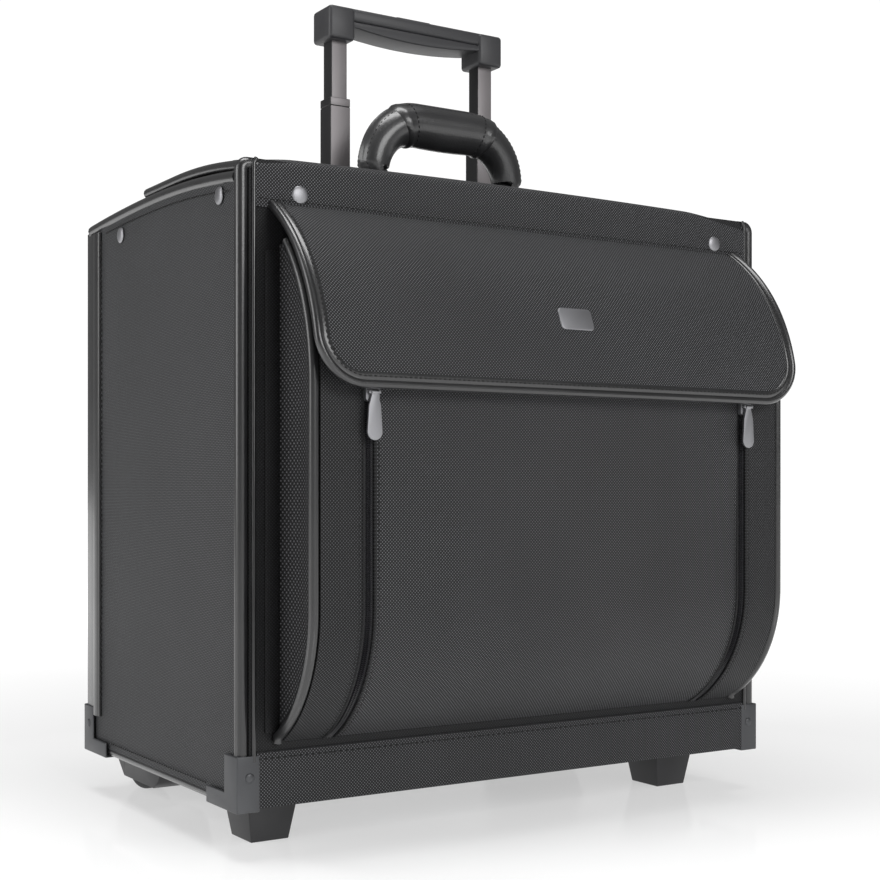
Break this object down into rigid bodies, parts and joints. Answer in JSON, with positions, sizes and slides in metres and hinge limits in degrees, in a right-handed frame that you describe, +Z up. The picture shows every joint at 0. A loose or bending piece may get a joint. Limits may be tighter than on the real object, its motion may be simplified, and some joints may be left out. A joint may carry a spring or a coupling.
{
  "type": "rolling flight case",
  "caption": "Stiff-sided rolling flight case with a telescopic trolley handle, two lids, a carry handle and a zipped front pocket under a flap.",
  "frame": {"origin": "centre of the bounding box on the floor that the wheels and feet stand on", "axes": "+X to the case's right seen from the front, +Y from the front pocket to the back, +Z up"},
  "size_m": [0.4192, 0.3402, 0.568],
  "materials": {
    "fabric": "woven ballistic nylon",
    "leather": "smooth semi-gloss",
    "black_plastic": "fine texture",
    "gunmetal": "satin",
    "alloy": "anodised satin",
    "bright_metal": "satin chrome",
    "lining": "plain weave",
    "rubber": "matt"
  },
  "bodies": {
    "case": {"bottom_panel": "black_plastic", "front_panel": "fabric", "back_panel": "fabric", "left_panel": "fabric", "right_panel": "fabric", "edge_pipings": "leather", "rim_frame": "gunmetal", "rim_rivets": "bright_metal", "corner_guards": "gunmetal", "guard_rivets": "bright_metal", "foot_left": "black_plastic", "foot_right": "black_plastic", "wheel_housing_left": "black_plastic", "wheel_housing_right": "black_plastic", "wheel_axles": "bright_metal", "trolley_outer_tubes": "alloy", "trolley_bezel": "black_plastic", "trolley_base": "black_plastic", "divider_front": "lining", "divider_rear": "lining", "pocket_side_left": "fabric", "pocket_side_right": "fabric", "pocket_front": "fabric", "pocket_pipings": "leather", "zippers": "black_plastic", "floor_pad": "lining", "laptop_sleeve": "lining", "file_dividers": "lining"},
    "front_lid": {"front_lid_panel": "fabric", "front_lid_piping": "leather", "lock_bodies": "gunmetal", "handle_mounts": "gunmetal"},
    "carry_handle": {"grab_handle": "leather"},
    "rear_lid": {"rear_lid_panel": "fabric", "lock_catches": "gunmetal"},
    "pocket_flap": {"flap_panel": "fabric", "flap_binding": "leather", "flap_badge": "bright_metal"},
    "trolley_middle": {"trolley_mid_tubes": "alloy", "mid_tube_collars": "black_plastic"},
    "trolley_top": {"trolley_top_tubes": "alloy", "grip_upper": "black_plastic", "grip_lower": "black_plastic"},
    "trolley_button": {"release_button": "black_plastic"},
    "slider_left": {"zip_slider_left": "bright_metal"},
    "pull_left": {"zip_pull_left": "bright_metal"},
    "slider_right": {"zip_slider_right": "bright_metal"},
    "pull_right": {"zip_pull_right": "bright_metal"},
    "wheel_left": {"tyre_left": "rubber", "hub_left": "gunmetal"},
    "wheel_right": {"tyre_right": "rubber", "hub_right": "gunmetal"},
    "dial_left_1": {"dial_left_1": "bright_metal"},
    "dial_left_2": {"dial_left_2": "bright_metal"},
    "dial_left_3": {"dial_left_3": "bright_metal"},
    "lock_button_left": {"lock_button_left": "bright_metal"},
    "dial_right_1": {"dial_right_1": "bright_metal"},
    "dial_right_2": {"dial_right_2": "bright_metal"},
    "dial_right_3": {"dial_right_3": "bright_metal"},
    "lock_button_right": {"lock_button_right": "bright_metal"}
  },
  "joints": [
    {"name": "front_lid_hinge", "type": "hinge", "parent": "case", "child": "front_lid", "pos_m": [0, -0.1019, 0.42115], "axis": [1, 0, 0], "range_deg": [0, 100]},
    {"name": "carry_handle_fold", "type": "hinge", "parent": "front_lid", "child": "carry_handle", "pos_m": [0, -0.0039, 0.435], "axis": [1, 0, 0], "range_deg": [0, 80]},
    {"name": "rear_lid_hinge", "type": "hinge", "parent": "case", "child": "rear_lid", "pos_m": [0, 0.1526, 0.4105], "axis": [-1, 0, 0], "range_deg": [0, 110]},
    {"name": "flap_hinge", "type": "hinge", "parent": "case", "child": "pocket_flap", "pos_m": [0, -0.1087, 0.389], "axis": [-1, 0, 0], "range_deg": [0, 100]},
    {"name": "trolley_middle_slide", "type": "slide", "parent": "case", "child": "trolley_middle", "axis": [0, 0, 1], "range_m": [-0.074, 0.21]},
    {"name": "trolley_top_slide", "type": "slide", "parent": "trolley_middle", "child": "trolley_top", "axis": [0, 0, 1], "range_m": [-0.04, 0.25]},
    {"name": "trolley_button_press", "type": "slide", "parent": "trolley_top", "child": "trolley_button", "axis": [0, 0, -1], "range_m": [0, 0.004], "stiffness_N_per_m": 600, "springref_m": -0.002},
    {"name": "zip_left_slide", "type": "slide", "parent": "case", "child": "slider_left", "axis": [0, 0, -1], "range_m": [0, 0.118]},
    {"name": "pull_left_swing", "type": "hinge", "parent": "slider_left", "child": "pull_left", "pos_m": [-0.147, -0.1622, 0.2765], "axis": [-1, 0, 0], "range_deg": [0, 90]},
    {"name": "wheel_left_spin", "type": "hinge", "parent": "case", "child": "wheel_left", "pos_m": [-0.165, 0.1381, 0.032], "axis": [1, 0, 0], "continuous": true},
    {"name": "dial_left_1_turn", "type": "hinge", "parent": "front_lid", "child": "dial_left_1", "pos_m": [-0.16, 0.0431, 0.4312], "axis": [1, 0, 0], "continuous": true},
    {"name": "dial_left_2_turn", "type": "hinge", "parent": "front_lid", "child": "dial_left_2", "pos_m": [-0.153, 0.0431, 0.4312], "axis": [1, 0, 0], "continuous": true},
    {"name": "dial_left_3_turn", "type": "hinge", "parent": "front_lid", "child": "dial_left_3", "pos_m": [-0.146, 0.0431, 0.4312], "axis": [1, 0, 0], "continuous": true},
    {"name": "lock_button_left_push", "type": "slide", "parent": "front_lid", "child": "lock_button_left", "axis": [-1, 0, 0], "range_m": [0, 0.004]},
    {"name": "zip_right_slide", "type": "slide", "parent": "case", "child": "slider_right", "axis": [0, 0, -1], "range_m": [0, 0.118]},
    {"name": "pull_right_swing", "type": "hinge", "parent": "slider_right", "child": "pull_right", "pos_m": [0.147, -0.1622, 0.2765], "axis": [-1, 0, 0], "range_deg": [0, 90]},
    {"name": "wheel_right_spin", "type": "hinge", "parent": "case", "child": "wheel_right", "pos_m": [0.165, 0.1381, 0.032], "axis": [1, 0, 0], "continuous": true},
    {"name": "dial_right_1_turn", "type": "hinge", "parent": "front_lid", "child": "dial_right_1", "pos_m": [0.16, 0.0431, 0.4312], "axis": [1, 0, 0], "continuous": true},
    {"name": "dial_right_2_turn", "type": "hinge", "parent": "front_lid", "child": "dial_right_2", "pos_m": [0.153, 0.0431, 0.4312], "axis": [1, 0, 0], "continuous": true},
    {"name": "dial_right_3_turn", "type": "hinge", "parent": "front_lid", "child": "dial_right_3", "pos_m": [0.146, 0.0431, 0.4312], "axis": [1, 0, 0], "continuous": true},
    {"name": "lock_button_right_push", "type": "slide", "parent": "front_lid", "child": "lock_button_right", "axis": [1, 0, 0], "range_m": [0, 0.004]}
  ]
}
